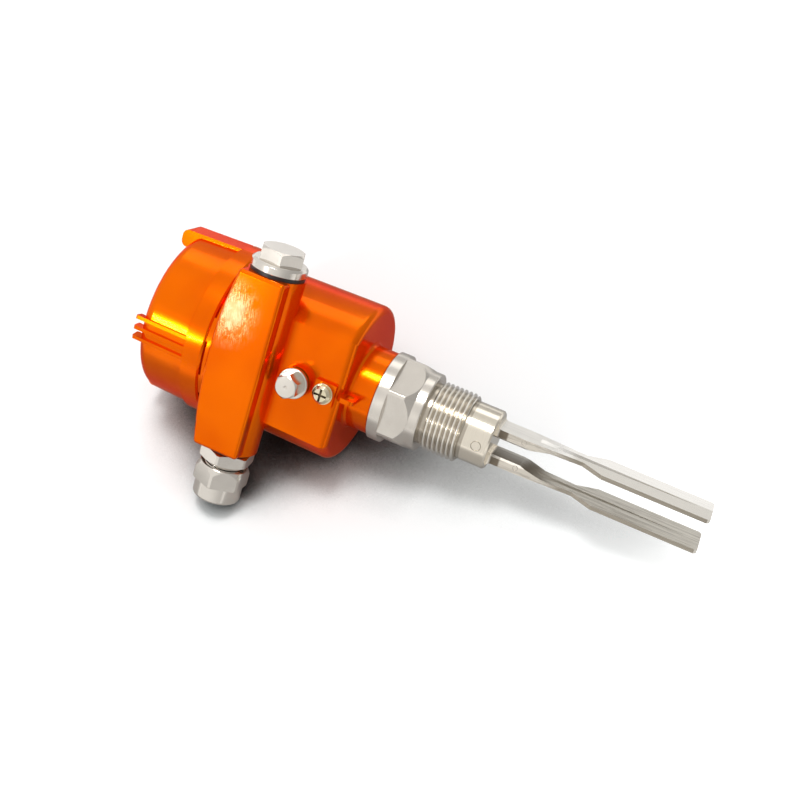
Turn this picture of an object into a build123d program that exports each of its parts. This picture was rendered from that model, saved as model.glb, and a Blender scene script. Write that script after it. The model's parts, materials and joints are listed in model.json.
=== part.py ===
from build123d import *
import math
import os

# Tuning fork level switch. Millimetres, +Z along the sensor towards the cover.
# z = 0 is the sealing face under the hexagon, where the process thread starts.
# The blanking plug leaves along +X, the cable gland along -X, and the flat with
# the vent plug and the ground screw looks along -Y.

# how far a cutter runs past the face it opens, and how close two radii count as one
overrun = 1.0
same_size = 0.01

# process connection
thread_r = 16.6245
thread_length = 17.0
relief_length = 2.2
relief_r = 14.9
thread_chamfer = 0.9
hex_flats = 38.0
hex_length = 17.0
washer_face_r = 18.95
washer_face_length = 4.6
washer_face_edge = 0.4
hex_chamfer_length = 4.3
hex_turn = -66.0
collar_r = 21.5
collar_length = 6.0
collar_edge = 0.6
barrel_bore_r = 11.0
barrel_tail = 1.8
spigot_r = 15.0
spigot_length = 14.0
spigot_clearance = 0.05
neck_seal_low = 3.0
neck_seal_width = 2.0
neck_seal_depth = 1.5
neck_seal_r = 0.75

# fork
stem_r = 14.2
sleeve_length = 12.0
stem_edge = 0.8
diaphragm_thick = 1.2
fork_turn = -6.0
tine_length = 100.5
tine_gap = 13.8
blade_thick = 2.0
blade_width = 18.4
root_thick = 4.6
root_width = 12.0
root_length = 15.0
root_slope = 11.0
waist_width = 8.4
waist_end = 41.0
blade_start = 51.0
blade_corner = 1.2
rib_width = 3.8
rib_height = 0.9
rib_tip_gap = 7.5
rib_root_gap = 6.0
rib_end_height = 0.03
rib_end_width = 0.4
root_edge = 0.9
root_fillet = 2.6

# housing casting
neck_r = 20.2
neck_length = 12.0
neck_fillet = 1.6
neck_flare = 0.3
neck_end_gap = 1.0
body_step = 1.0
body_draft = 0.9
body_fillet = 3.8
wall = 4.0
floor_thick = 5.0
flat_height = 34.8
joint_drop = 7.0
flange_step = 1.0
flange_height = 4.6
flange_edge = 0.6
notch_count = 9
notch_angle = 24.0
notch_turn = -95.0
notch_depth = 3.0
notch_height = 1.0
spigot_wall = 3.6
flat_cut = 10.5
post_r = 4.2
post_inset = 3.6

# entry block
entry_reach = 4.5
block_reach = 3.5
block_height = 22.6
block_crown = 4.4
block_fillet = 1.8
entry_inset = 14.9
entry_rise = 10.4
boss_r = 13.3
entry_r = 10.0
entry_length = 24.0

# cover
cover_clearance = 0.3
skirt_wall = 2.4
skirt_height = 10.0
skirt_edge = 0.8
cap_r = 40.3
cap_draft = 0.9
cover_height = 34.0
cover_fillet = 5.5
cover_wall = 3.6
cover_thread_wall = 3.7
spigot_top_height = 11.0
cover_thread_clearance = 0.3
seal_land_step = 0.8
seal_land_height = 4.4
seal_groove_depth = 1.9
seal_groove_low = 1.2
seal_groove_width = 2.2
cover_seal_r = 0.9
fin_count = 3
fin_pitch = 7.1
fin_thick = 1.7
fin_reach = 1.1
fin_over = 2.2
fin_depth = 5.0
fin_turn = -93.2
ear_turn = -1.0
ear_width = 12.4
ear_over = 5.8
ear_reach = 1.2
ear_depth = 8.6
ear_edge = 3.0
grip_sink = 0.6

# vent plug, ground screw and lead seal eye on the flat
vent_rise = 21.7
vent_boss_r = 7.5
vent_boss_height = 3.6
vent_bore_r = 3.05
vent_bore_depth = 7.0
vent_shank_gap = 0.8
vent_flange_r = 7.2
vent_flange_thick = 1.8
vent_hex = 10.0
vent_hex_height = 7.4
vent_hex_turn = 0.0
vent_seal_thick = 1.2
vent_seal_inset = 0.5
ground_rise = 7.7
ground_pad = 10.4
ground_pad_height = 2.2
ground_head_r = 4.3
ground_head_height = 2.6
ground_shank_r = 2.05
ground_shank = 5.2
ground_washer_r = 4.9
ground_washer_thick = 1.6
screw_slot = 1.1
ground_slot = 6.0
dimple_r = 0.8
eye_x = 0.2
eye_thick = 2.2
eye_reach = 10.4
eye_length = 6.6
eye_corner = 2.4
eye_slot_r = 1.2
eye_slot = 5.2

# blanking plug
plug_flange_r = 12.9
plug_flange_thick = 4.0
plug_hex = 19.0
plug_hex_height = 5.9
plug_hex_chamfer = 1.1
plug_hex_turn = -9.0
plug_seal_thick = 1.8
plug_flange_edge = 1.0
seal_inset = 0.3
plug_shank_r = 9.9
plug_shank = 11.0

# cable gland
gland_hex = 23.0
gland_body_hex = 23.0
gland_corner_r = 12.9
gland_hex_turn = 25.3
gland_hex_height = 5.9
gland_seal_thick = 1.5
gland_seal_r = 10.9
gland_tower_r = 9.3
gland_nut_gap = 2.5
gland_tower = 12.0
gland_nut_clearance = 0.3
gland_nut_height = 17.3
gland_nut_hex_height = 9.3
gland_nut_turn = 27.5
gland_nut_rim = 3.0
gland_nut_mouth_r = 10.8
gland_nut_mouth = 2.4
gland_band_r = 11.3
gland_nut_end = 1.4
nut_edge = 0.3
gland_bore_r = 6.2
gland_pocket_r = 7.6
gland_mouth_r = 5.6
gland_opening_r = 6.1
claw_height = 1.5
claw_slots = 8
claw_slot = 1.2
slip_ring_thick = 0.8
seat_gap = 0.05

# electronics inside the housing
module_inset = 9.1
module_y = 3.0
module_height = 30.0
module_wall = 2.0
module_floor = 2.0
module_clearance = 0.3
board_thick = 1.6
board_drop = 6.0
board_inset = 3.5
ledge_inset = 5.0
lid_reach = 3.0
lid_thick = 1.8
lid_ear = 9.0
lid_inset = 1.5
lid_screw_r = 1.6
lid_screw_head_r = 3.4
lid_screw_head = 2.4
lid_screw_length = 8.0
lid_screw_gap = 1.0
terminal_poles = 5
terminal_pitch = 5.08
terminal_depth = 11.0
terminal_height = 10.5
terminal_y = 9.0
terminal_end = 1.6
terminal_screw_r = 1.7
terminal_screw_head = 1.4
terminal_hole_r = 1.9
terminal_wire_w = 3.4
terminal_wire_h = 3.8
switch_x = -9.0
switch_y = -10.0
switch_base = 9.0
switch_window = 5.4
switch_knob = 2.6
switch_knob_over = 1.6
switch_travel = 2.0
pot_x = 6.0
pot_y = -10.0
pot_r = 3.0
pot_base = 8.4
pot_over = 1.0
pot_slot = 4.8
control_gap = 0.4
led_r = 1.5
led_over = 1.4
led_dome = 1.2
led_x = (-2.6, 13.4)
led_y = -10.0
chip_size = (9.0, 6.0, 2.2)
can_r = 4.0
can_height = 9.0

# piezo drive inside the fork's sleeve
disc_r = 8.0
disc_hole_r = 2.4
disc_thick = 2.0
electrode_thick = 0.3
insulator_thick = 1.5
stud_r = 2.0
stud_top_gap = 1.2
nut_hex = 7.0
nut_height = 3.2
tab_reach = 10.0
tab_root = 6.0
tab_width = 3.0
lead_r = 0.5
lead_x = 9.0

# derived radii
spigot_top_r = cap_r - cover_thread_wall
mouth_r = spigot_top_r - spigot_wall
seal_land_r = spigot_top_r + seal_land_step
seal_groove_r = seal_land_r + seal_groove_depth
skirt_r = seal_groove_r + skirt_wall
flange_r = skirt_r - flange_step
body_top_r = spigot_top_r + body_step
body_end_r = body_top_r + body_draft
cavity_r = body_top_r - wall
post_x = cavity_r - post_inset
module_r = cavity_r - module_inset
board_r = module_r - board_inset
ledge_r = module_r - ledge_inset
lid_r = module_r + lid_reach
lid_half = module_r - lid_inset

# derived places of the front and the entries
flat_depth = body_end_r - flat_cut
block_half = body_end_r + entry_reach
block_front = body_end_r + block_reach
entry_back = block_front - entry_inset

# derived heights
neck_z = hex_length + collar_length
body_z = neck_z + neck_length
block_low = body_z + flat_height
block_high = block_low + block_height
joint_z = block_high + joint_drop
entry_z = block_low + entry_rise
vent_z = body_z + vent_rise
ground_z = body_z + ground_rise
cavity_z = body_z + floor_thick
spigot_z = joint_z + spigot_top_height
thread_end = -relief_length - thread_length
weld_z = thread_end - barrel_tail
stem_z = weld_z - sleeve_length
tip_z = stem_z - tine_length
module_low = cavity_z + module_clearance
lid_z = module_low + module_height
board_z = lid_z - board_drop
lid_top = lid_z + lid_thick
stack_z = stem_z + diaphragm_thick
drive_z = stack_z + insulator_thick
middle_z = drive_z + disc_thick
sense_z = middle_z + electrode_thick
upper_z = sense_z + disc_thick
top_insulator_z = upper_z + electrode_thick
nut_z = top_insulator_z + insulator_thick


def tube(r_out, r_in, low, high):
    body = Cylinder(r_out, high - low) - Cylinder(r_in, (high - low) * 2)
    return Pos(0, 0, (low + high) / 2) * body


def rod(radius, low, high):
    return Pos(0, 0, (low + high) / 2) * Cylinder(radius, high - low)


def block(width, depth, low, high):
    return Pos(0, 0, (low + high) / 2) * Box(width, depth, high - low)


def turned(points):
    """Revolves a closed outline of (radius, height) points about the Z axis."""
    wire = Polyline([(r, 0, z) for r, z in points], close=True)
    return revolve(make_face(wire), Axis.Z, 360)


def hexagon(flats, low, high, turn=0):
    prism = extrude(RegularPolygon(flats / 2, 6, major_radius=False), high - low)
    return Pos(0, 0, low) * Rot(0, 0, turn) * prism


def circles(solid, radius, height=None):
    """The round edges of one radius, at one height when it is given."""
    found = []
    for edge in solid.edges().filter_by(GeomType.CIRCLE):
        same_r = abs(edge.radius - radius) < same_size
        if same_r and (height is None or abs(edge.arc_center.Z - height) < same_size):
            found.append(edge)
    return found


def entry_frame(side):
    """Local Z leaves the block's side face along the cable entry's axis."""
    return Pos(side * block_half, -entry_back, entry_z) * Rot(0, side * 90, 0)


def front_frame(z, depth):
    """Local Z leaves the front along -Y, from a face at the given depth."""
    return Pos(0, -depth, z) * Rot(90, 0, 0)


def process_connection():
    """Thread, hexagon, collar and upper spigot, turned and milled from one bar."""
    lower = turned([
        (barrel_bore_r, weld_z),
        (stem_r, weld_z),
        (stem_r, thread_end),
        (thread_r - thread_chamfer, thread_end),
        (thread_r, thread_end + thread_chamfer),
        (thread_r, -relief_length - thread_chamfer),
        (thread_r - thread_chamfer, -relief_length),
        (relief_r, -relief_length),
        (relief_r, 0),
        (barrel_bore_r, 0),
    ])
    blank = turned([
        (barrel_bore_r, 0),
        (washer_face_r - washer_face_edge, 0),
        (washer_face_r, washer_face_edge),
        (washer_face_r, washer_face_length),
        (collar_r, washer_face_length + hex_chamfer_length),
        (collar_r, hex_length),
        (barrel_bore_r, hex_length),
    ])
    nut = blank & hexagon(hex_flats, 0, hex_length, hex_turn)
    groove_low = neck_z + neck_seal_low
    groove_high = groove_low + neck_seal_width
    upper = turned([
        (barrel_bore_r, hex_length),
        (collar_r, hex_length),
        (collar_r, neck_z - collar_edge),
        (collar_r - collar_edge, neck_z),
        (spigot_r, neck_z),
        (spigot_r, groove_low),
        (spigot_r - neck_seal_depth, groove_low),
        (spigot_r - neck_seal_depth, groove_high),
        (spigot_r, groove_high),
        (spigot_r, neck_z + spigot_length - collar_edge),
        (spigot_r - collar_edge, neck_z + spigot_length),
        (barrel_bore_r, neck_z + spigot_length),
    ])
    return lower + nut + upper


def neck_seal():
    middle = neck_z + neck_seal_low + neck_seal_width / 2
    centre_r = spigot_r + spigot_clearance - neck_seal_r - seat_gap / 2
    return Pos(0, 0, middle) * Torus(centre_r, neck_seal_r)


def tine():
    """One tine on the +X side: its side view crossed with its front view, and a rib."""
    inner = tine_gap / 2
    outer = inner + blade_thick
    root_inner = outer - root_thick
    root_z = stem_z - root_length
    slope_z = root_z - root_slope
    side = Polyline([
        (root_inner, 0, stem_z),
        (outer, 0, stem_z),
        (outer, 0, tip_z),
        (inner, 0, tip_z),
        (inner, 0, slope_z),
        (root_inner, 0, root_z),
    ], close=True)
    side_solid = extrude(make_face(side), blade_width, both=True, dir=(0, 1, 0))
    half = blade_width / 2
    waist = waist_width / 2
    root = root_width / 2
    right = [
        (0, root, stem_z),
        (0, root, root_z),
        (0, waist, stem_z - waist_end),
        (0, half, stem_z - blade_start),
        (0, half, tip_z + blade_corner),
        (0, half - blade_corner, tip_z),
    ]
    left = [(x, -y, z) for x, y, z in reversed(right)]
    front = extrude(make_face(Polyline(right + left, close=True)), outer * 2, dir=(1, 0, 0))
    middle = inner + blade_thick / 2
    upper = [
        (root_inner, root - root_edge, tip_z),
        (root_inner + root_edge, root, tip_z),
        (root_inner + root_edge, half, tip_z),
        (outer, half, tip_z),
    ]
    lower = [(x, -y, z) for x, y, z in reversed(upper)]
    section = extrude(make_face(Polyline(upper + lower, close=True)),
                      stem_z - tip_z, dir=(0, 0, 1))
    blade = side_solid & front & section
    return blade + Pos(middle, 0, 0) * tine_rib()


def tine_rib():
    """A ridge on both faces of the blade that narrows and sinks into it near the tip."""
    top = stem_z - root_length - root_slope + rib_root_gap
    low = tip_z + rib_tip_gap
    tall = blade_thick / 2 + rib_height
    flush = blade_thick / 2 + rib_end_height
    sections = []
    for z, wide, thick in ((top, rib_width, tall), (low, rib_end_width, flush)):
        points = [(thick, 0, z), (0, wide, z), (-thick, 0, z), (0, -wide, z)]
        sections.append(make_face(Polyline(points, close=True)))
    return loft(sections)


def fork():
    """Sleeve, diaphragm and both tines, one machined piece."""
    sleeve = turned([
        (0, stem_z),
        (stem_r - stem_edge, stem_z),
        (stem_r, stem_z + stem_edge),
        (stem_r, weld_z),
        (barrel_bore_r, weld_z),
        (barrel_bore_r, stack_z),
        (0, stack_z),
    ])
    whole = sleeve + tine() + Rot(0, 0, 180) * tine()
    outer = tine_gap / 2 + blade_thick
    roots = []
    for edge in whole.edges().filter_by(Axis.Y):
        middle = edge.center()
        at_root = abs(middle.Z - stem_z) < same_size
        if at_root and abs(abs(middle.X) - outer) < same_size:
            roots.append(edge)
    return Rot(0, 0, fork_turn) * fillet(roots, root_fillet)


def entry_block():
    """The front block with a crowned upper edge, and the round bosses at its ends."""
    crown = ThreePointArc(
        (block_half, 0, block_high),
        (0, 0, block_high + block_crown),
        (-block_half, 0, block_high),
    )
    walls = Polyline([
        (-block_half, 0, block_high),
        (-block_half, 0, block_low),
        (block_half, 0, block_low),
        (block_half, 0, block_high),
    ])
    face = make_face(Wire([crown] + walls.edges()))
    depth = block_front - entry_back
    front = Pos(0, -entry_back, 0) * extrude(face, depth, dir=(0, -1, 0))
    edges = front.edges().filter_by_position(
        Axis.Y, -block_front - same_size, -block_front + same_size)
    corners = front.edges().filter_by(Axis.Y)
    front = fillet(edges + corners, block_fillet)
    boss = Rot(0, 90, 0) * Cylinder(boss_r, block_half * 2)
    return front + Pos(0, -entry_back, entry_z) * boss


def housing_body():
    """The turned body with its front flat, and the end rim rounded."""
    flange_z = joint_z - flange_height
    taper_z = flange_z - (flange_r - body_top_r)
    body = turned([
        (0, body_z),
        (body_end_r, body_z),
        (body_top_r, taper_z),
        (flange_r, flange_z),
        (flange_r, joint_z),
        (0, joint_z),
    ])
    cut_z = (body_z + block_low) / 2
    cut = Pos(0, -flat_depth - body_end_r, cut_z) * Box(
        body_end_r * 2, body_end_r * 2, block_low - body_z)
    body = body - cut
    rim = [e for e in body.edges()
           if abs(e.bounding_box().max.Z - body_z) < same_size]
    return fillet(rim, body_fillet)


def housing_spigot():
    """The threaded spigot that the cover screws on, above the joint."""
    land_z = joint_z + seal_land_height
    return turned([
        (0, joint_z),
        (seal_land_r, joint_z),
        (seal_land_r, land_z - flange_edge),
        (seal_land_r - flange_edge, land_z),
        (spigot_top_r, land_z),
        (spigot_top_r, spigot_z - flange_edge),
        (spigot_top_r - flange_edge, spigot_z),
        (0, spigot_z),
    ])


def housing_neck():
    neck = rod(neck_r, neck_z, body_z + body_fillet)
    flare = turned([
        (0, body_z - neck_fillet),
        (neck_r, body_z - neck_fillet),
        (neck_r + neck_fillet * neck_flare, body_z - neck_fillet * neck_flare),
        (neck_r + neck_fillet, body_z),
        (neck_r + neck_fillet, body_z + neck_fillet),
        (0, body_z + neck_fillet),
    ])
    return neck + flare


def housing_cavity():
    """Terminal chamber, kept a wall behind the flat, its mouth and the neck's bores."""
    chamber = rod(cavity_r, cavity_z, joint_z)
    front_wall = flat_depth - wall
    guard = Pos(0, -front_wall - cavity_r, 0) * block(
        cavity_r * 4, cavity_r * 2, cavity_z, block_low)
    mouth = rod(mouth_r, joint_z - flange_edge, spigot_z + flange_edge)
    bore_top = neck_z + spigot_length + neck_end_gap
    neck_bore = rod(spigot_r + spigot_clearance, neck_z - overrun, bore_top)
    lead_bore = rod(barrel_bore_r, neck_z, cavity_z + overrun)
    return (chamber - guard) + mouth + neck_bore + lead_bore


def cover_posts():
    """Two cast posts on the chamber's wall that carry the electronics lid."""
    posts = []
    for side in (1, -1):
        post = Pos(side * post_x, module_y, 0) * rod(post_r, cavity_z - overrun, lid_z)
        hole = Pos(side * post_x, module_y, 0) * rod(
            lid_screw_r + seat_gap, lid_z - lid_screw_length, lid_z + overrun)
        reach = rod(cavity_r + overrun, cavity_z - overrun, lid_z)
        posts.append((post & reach) - hole)
    return posts


def flange_notches():
    """Shallow recesses round the joint that show as slots under the cover."""
    low = joint_z - notch_height
    ring = tube(flange_r + overrun, flange_r - notch_depth, low, joint_z + notch_height)
    half = math.radians(notch_angle / 2)
    reach = flange_r * 2
    wedge = make_face(Polyline([
        (0, 0, low),
        (reach * math.cos(half), reach * math.sin(half), low),
        (reach * math.cos(half), -reach * math.sin(half), low),
    ], close=True))
    notch = ring & extrude(wedge, notch_height, dir=(0, 0, 1))
    pitch = 360 / notch_count
    return [Rot(0, 0, notch_turn + index * pitch) * notch for index in range(notch_count)]


def seal_eye():
    """Cast eye between the neck and the body, for a sealing wire."""
    inside = -neck_r + overrun
    front = -neck_r - eye_reach
    low = body_z - eye_length
    outline = make_face(Polyline([
        (0, inside, low),
        (0, front, low),
        (0, front, body_z - flange_edge),
        (0, -flat_depth, body_z + body_fillet / 2),
        (0, inside, body_z + body_fillet / 2),
    ], close=True))
    web = Pos(eye_x, 0, 0) * extrude(outline, eye_thick / 2, both=True, dir=(1, 0, 0))
    corner = web.edges().filter_by(Axis.X).group_by(Axis.Z)[0].group_by(Axis.Y)[0]
    web = fillet(corner, eye_corner)
    slot = extrude(SlotOverall(eye_slot, eye_slot_r * 2), eye_thick, both=True)
    centre_y = -(neck_r + eye_reach / 2)
    centre_z = body_z - eye_length / 2
    return web, Pos(eye_x, centre_y, centre_z) * Rot(90, 0, 90) * slot


def housing():
    """One casting: body, neck, entry block, bosses, pad, eye and inner posts."""
    web, slot = seal_eye()
    seat = flat_depth + vent_boss_height
    outward = (Align.CENTER, Align.CENTER, Align.MIN)
    inward = (Align.CENTER, Align.CENTER, Align.MAX)
    boss = front_frame(vent_z, flat_depth - overrun) * Cylinder(
        vent_boss_r, vent_boss_height + overrun, align=outward)
    pad = front_frame(ground_z, flat_depth - overrun) * Box(
        ground_pad, ground_pad, ground_pad_height + overrun, align=outward)
    shell = housing_body() + housing_neck() + housing_spigot() + entry_block()
    shell = shell + boss + pad + web - slot
    shell = shell - housing_cavity()
    for post in cover_posts():
        shell = shell + post
    for side in (1, -1):
        bore = Cylinder(entry_r, entry_length, align=inward)
        shell = shell - entry_frame(side) * bore
    vent_bore = Cylinder(vent_bore_r, vent_bore_depth, align=inward)
    shell = shell - front_frame(vent_z, seat) * vent_bore
    ground_bore = Cylinder(ground_shank_r, ground_shank, align=inward)
    shell = shell - front_frame(ground_z, flat_depth + ground_pad_height) * ground_bore
    for notch in flange_notches():
        shell = shell - notch
    return shell


def cover_seal():
    middle = joint_z + seal_groove_low + seal_groove_width / 2
    centre_r = seal_land_r + cover_seal_r + seat_gap
    return Pos(0, 0, middle) * Torus(centre_r, cover_seal_r)


def cover():
    """Screw cover: skirt, cap, inner thread land and seal groove, ribs and ears."""
    low = joint_z
    skirt_top = joint_z + skirt_height
    top = joint_z + cover_height
    inner_top = top - cover_wall
    mouth = seal_land_r + cover_clearance
    thread = spigot_top_r + cover_thread_clearance
    land = joint_z + seal_land_height + cover_clearance
    thread_top = spigot_z + cover_clearance
    groove_low = joint_z + seal_groove_low
    groove_high = groove_low + seal_groove_width
    inner_r = cap_r - cap_draft - cover_wall
    shell = turned([
        (mouth, low),
        (skirt_r - skirt_edge, low),
        (skirt_r, low + skirt_edge),
        (skirt_r, skirt_top - skirt_edge),
        (cap_r, skirt_top),
        (cap_r - cap_draft, top),
        (0, top),
        (0, inner_top),
        (inner_r, inner_top),
        (inner_r, thread_top),
        (thread, thread_top),
        (thread, land),
        (mouth, land),
        (mouth, groove_high),
        (seal_groove_r, groove_high),
        (seal_groove_r, groove_low),
        (mouth, groove_low),
    ])
    shell = fillet(circles(shell, cap_r - cap_draft, top), cover_fillet)
    shell = fillet(circles(shell, inner_r, inner_top), cover_fillet - cover_wall / 2)
    return shell + cover_grips(skirt_top, top)


def grip(width, reach, over, depth, skirt_top, top, edge):
    """One radial rib along the cap that stands over its rounded end."""
    outer = cap_r + reach
    tip = outer - cap_draft
    profile = make_face(Polyline([
        (outer - depth, 0, skirt_top - overrun),
        (outer, 0, skirt_top - overrun),
        (tip, 0, top + over),
        (tip - depth, 0, top + over),
        (outer - depth, 0, top - cover_wall),
    ], close=True))
    plate = extrude(profile, width / 2, both=True, dir=(0, 1, 0))
    tips = plate.edges().filter_by(Axis.Y).group_by(Axis.Z)[-1]
    return fillet(tips, edge)


def cover_grips(skirt_top, top):
    """Three thin ribs and one broad ear on each half of the cover."""
    inner_r = cap_r - cap_draft - cover_wall
    thread_top = spigot_z + cover_clearance
    hollow = rod(inner_r + grip_sink, thread_top, top - cover_wall + grip_sink)
    hollow = hollow + rod(spigot_top_r + cover_thread_clearance, joint_z, thread_top)
    fin = grip(fin_thick, fin_reach, fin_over, fin_depth, skirt_top, top, fin_thick / 2)
    ear = grip(ear_width, ear_reach, ear_over, ear_depth, skirt_top, top, ear_edge)
    fin = fin - hollow
    ear = ear - hollow
    grips = []
    for half_turn in (0, 180):
        for index in range(fin_count):
            turn = fin_turn + (index - (fin_count - 1) / 2) * fin_pitch
            grips.append(Rot(0, 0, turn + half_turn) * fin)
        grips.append(Rot(0, 0, ear_turn + half_turn) * ear)
    total = grips[0]
    for piece in grips[1:]:
        total = total + piece
    return total


def blanking_plug_seal():
    return entry_frame(1) * tube(plug_flange_r - seal_inset, plug_shank_r + seat_gap,
                                 0, plug_seal_thick)


def blanking_plug():
    """Flanged hexagon plug that closes the entry without a cable."""
    flange_top = plug_seal_thick + plug_flange_thick
    hex_top = flange_top + plug_hex_height
    corner = plug_hex / math.sqrt(3)
    flange = turned([
        (0, plug_seal_thick),
        (plug_flange_r, plug_seal_thick),
        (plug_flange_r, flange_top - plug_flange_edge),
        (plug_flange_r - plug_flange_edge, flange_top),
        (0, flange_top),
    ])
    form = turned([
        (0, plug_seal_thick),
        (corner, plug_seal_thick),
        (corner, hex_top - plug_hex_chamfer),
        (plug_hex / 2 - seal_inset, hex_top),
        (0, hex_top),
    ])
    head = form & hexagon(plug_hex, plug_seal_thick, hex_top, plug_hex_turn)
    shank = rod(plug_shank_r, -plug_shank, plug_seal_thick)
    return entry_frame(1) * (flange + head + shank)


def gland_heights():
    """Local heights: top of the body's hexagon, foot of the nut, top of the tower."""
    hex_high = gland_seal_thick + gland_hex_height
    nut_low = hex_high + gland_nut_gap
    return hex_high, nut_low, hex_high + gland_tower


def gland_seal():
    return entry_frame(-1) * tube(gland_seal_r, plug_shank_r + seat_gap, 0, gland_seal_thick)


def gland_body():
    """Lower half of the cable gland: shank, hexagon and the threaded tower."""
    hex_low = gland_seal_thick
    hex_high, nut_low, tower_top = gland_heights()
    corner = gland_corner_r
    edge = corner - gland_body_hex / 2
    form = turned([
        (0, hex_low),
        (corner - edge, hex_low),
        (corner, hex_low + edge / 2),
        (corner, hex_high - edge / 2),
        (corner - edge, hex_high),
        (0, hex_high),
    ])
    nut = form & hexagon(gland_body_hex, hex_low, hex_high, gland_hex_turn)
    shank = rod(plug_shank_r, -plug_shank, hex_high)
    tower = rod(gland_tower_r, hex_low, tower_top)
    through = rod(gland_bore_r, -plug_shank - overrun, tower_top + overrun)
    pocket = rod(gland_pocket_r, nut_low, tower_top + overrun)
    return entry_frame(-1) * (nut + shank + tower - through - pocket)


def gland_grommet():
    """Rubber sleeve in the tower's pocket, open for the cable."""
    hex_high, nut_low, tower_top = gland_heights()
    return entry_frame(-1) * tube(gland_pocket_r - seat_gap, gland_mouth_r, nut_low, tower_top)


def gland_claw():
    """Slotted ring that the nut presses on the grommet."""
    tower_top = gland_heights()[2]
    top = tower_top + claw_height
    ring = tube(gland_tower_r, gland_opening_r, tower_top, top)
    for index in range(claw_slots):
        slot = Pos(gland_tower_r, 0, 0) * block(
            gland_tower_r, claw_slot, tower_top + claw_height / 2, top + overrun)
        ring = ring - Rot(0, 0, index * 360 / claw_slots) * slot
    return entry_frame(-1) * ring


def gland_slip_ring():
    """Flat ring between the turning nut and the claw, which moves out with the nut."""
    low = gland_heights()[2] + claw_height + seat_gap
    return entry_frame(-1) * tube(gland_tower_r, gland_opening_r, low, low + slip_ring_thick)


def gland_cap_nut():
    """Domed hexagon nut over the tower."""
    hex_high, nut_low, tower_top = gland_heights()
    top = nut_low + gland_nut_height
    hex_top = nut_low + gland_nut_hex_height
    mouth_end = nut_low + gland_nut_mouth
    shoulder = tower_top + claw_height + slip_ring_thick + seat_gap * 2
    face = gland_hex / 2
    inner = gland_tower_r + gland_nut_clearance
    form = turned([
        (inner, mouth_end),
        (gland_nut_mouth_r, mouth_end),
        (gland_nut_mouth_r, nut_low),
        (face - nut_edge, nut_low),
        (face, nut_low + nut_edge),
        (gland_corner_r, nut_low + gland_nut_rim),
        (gland_corner_r, hex_top - nut_edge),
        (gland_corner_r - nut_edge, hex_top),
        (gland_band_r, hex_top),
        (gland_band_r, top),
        (gland_opening_r, top),
        (gland_opening_r, shoulder),
        (inner, shoulder),
    ])
    form = fillet(circles(form, gland_band_r, top), gland_nut_end)
    prism = hexagon(gland_hex, nut_low, hex_top, gland_nut_turn)
    return entry_frame(-1) * (form & (prism + rod(gland_band_r, hex_top, top)))


def vent_seal():
    seat = flat_depth + vent_boss_height
    return front_frame(vent_z, seat) * tube(
        vent_flange_r - vent_seal_inset, vent_bore_r, 0, vent_seal_thick)


def vent_plug():
    """Small flanged hexagon plug with a turned dimple, on the front boss."""
    seat = flat_depth + vent_boss_height
    flange_top = vent_seal_thick + vent_flange_thick
    top = flange_top + vent_hex_height
    corner = vent_hex / math.sqrt(3)
    face = vent_hex / 2
    chamfer_r = face - seal_inset
    flange = rod(vent_flange_r, vent_seal_thick, flange_top)
    flange = fillet(circles(flange, vent_flange_r, flange_top), vent_flange_thick / 3)
    form = turned([
        (0, vent_seal_thick),
        (corner, vent_seal_thick),
        (corner, top - seal_inset * 3),
        (chamfer_r, top),
        (dimple_r, top),
        (0, top - dimple_r),
    ])
    head = form & hexagon(vent_hex, vent_seal_thick, top, vent_hex_turn)
    shank_end = vent_shank_gap - vent_bore_depth
    shank = rod(vent_bore_r - seat_gap, shank_end, vent_seal_thick)
    return front_frame(vent_z, seat) * (flange + head + shank)


def ground_washer():
    seat = flat_depth + ground_pad_height
    return front_frame(ground_z, seat) * tube(
        ground_washer_r, ground_shank_r, 0, ground_washer_thick)


def ground_screw():
    """Pan head screw with a cross recess, for the outer earth wire."""
    seat = flat_depth + ground_pad_height
    low = ground_washer_thick
    top = low + ground_head_height
    head = turned([
        (0, low),
        (ground_head_r, low),
        (ground_head_r, top - ground_head_height / 2),
        (ground_head_r - ground_head_height / 2, top),
        (0, top),
    ])
    depth = ground_head_height / 2
    slot = block(screw_slot, ground_slot, top - depth, top)
    slot = slot + block(ground_slot, screw_slot, top - depth, top)
    shank = rod(ground_shank_r - seat_gap, control_gap - ground_shank, low)
    return front_frame(ground_z, seat) * (head - slot + shank)


def at_module(solid):
    return Pos(0, module_y, 0) * solid


def module_case():
    """Cup for the electronics, with a ledge that carries the circuit board."""
    cup = rod(module_r, module_low, lid_z)
    hollow = rod(module_r - module_wall, board_z - board_thick, lid_z + overrun)
    lower = rod(ledge_r, module_low + module_floor, lid_z)
    leads = Pos(0, -module_y, 0) * rod(barrel_bore_r, module_low - overrun, lid_z)
    return at_module(cup - hollow - lower - leads)


def circuit_board():
    """Round board on the ledge, with its larger components."""
    low = board_z - board_thick
    board = rod(board_r, low, board_z)
    wide, deep, tall = chip_size
    chip = Pos(0, wide, 0) * block(wide, deep, board_z, board_z + tall)
    can = Pos(0, can_r * 2, 0) * rod(can_r, low - can_height, low)
    return at_module(board + chip + can)


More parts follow.
